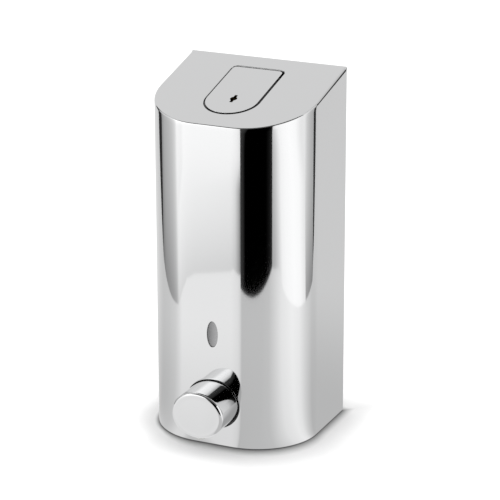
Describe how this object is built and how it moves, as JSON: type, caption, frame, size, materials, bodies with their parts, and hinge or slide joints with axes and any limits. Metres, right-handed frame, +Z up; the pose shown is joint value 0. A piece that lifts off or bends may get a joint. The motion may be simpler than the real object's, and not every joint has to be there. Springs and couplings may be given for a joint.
{
  "type": "soap dispenser",
  "caption": "Wall-mounted polished steel soap dispenser with rounded front corners, a sloping top with a locking filler flap, an oval sight window and a push-button pump low on the front.",
  "frame": {"origin": "on the standing plane, under the middle of the outline with the button out", "axes": "+Z up, +Y into the wall, +X to the right seen from the front"},
  "size_m": [0.11, 0.1124, 0.237],
  "materials": {
    "polished_steel": "mirror-polished stainless sheet",
    "button_chrome": "bright chrome plate",
    "plain_steel": "plain stainless sheet",
    "fastener_steel": "plain steel",
    "lock_brass": "turned brass",
    "black_plastic": "moulded acetal",
    "white_plastic": "moulded acetal",
    "tank_plastic": "translucent moulded tank",
    "lens_plastic": "clear moulded lens",
    "seal_rubber": "soft rubber"
  },
  "bodies": {
    "housing": {"housing_shell": "polished_steel", "top_plate": "polished_steel", "back_plate": "plain_steel", "base_plate": "plain_steel", "wall_bracket": "plain_steel", "hinge_pin": "plain_steel", "base_screws": "fastener_steel", "lock_screw": "fastener_steel", "throat_nuts": "fastener_steel", "return_spring": "fastener_steel", "filler_throat": "black_plastic", "button_guide": "black_plastic", "pump_barrel": "white_plastic", "barrel_nut": "white_plastic", "dip_elbow": "white_plastic", "guide_bush": "white_plastic", "ball_retainer": "white_plastic", "tank": "tank_plastic", "sight_lens": "lens_plastic", "lens_gasket": "seal_rubber", "tank_seal": "seal_rubber"},
    "flap": {"filler_flap": "polished_steel", "lock_case": "plain_steel"},
    "lock": {"lock_spindle": "lock_brass", "lock_tongue": "plain_steel", "tongue_screw": "fastener_steel"},
    "button": {"button_cap": "button_chrome", "plunger": "white_plastic", "piston_ring": "seal_rubber", "outlet_nozzle": "white_plastic", "drip_valve": "seal_rubber"},
    "ball": {"inlet_ball": "fastener_steel"}
  },
  "joints": [
    {"name": "button_slide", "type": "slide", "parent": "housing", "child": "button", "axis": [0, 1, 0], "range_m": [0, 0.01], "stiffness_N_per_m": 400, "springref_m": -0.008, "deforming": ["return_spring"]},
    {"name": "flap_hinge", "type": "hinge", "parent": "housing", "child": "flap", "pos_m": [0, 0.03627, 0.22857], "axis": [-1, 0, 0], "range_deg": [0, 110]},
    {"name": "lock_turn", "type": "hinge", "parent": "flap", "child": "lock", "pos_m": [0, 0.00205, 0.22308], "axis": [0, -0.2487, 0.9686], "range_deg": [0, 90]},
    {"name": "inlet_ball_lift", "type": "slide", "parent": "housing", "child": "ball", "axis": [0, -1, 0], "range_m": [0, 0.0015]}
  ]
}
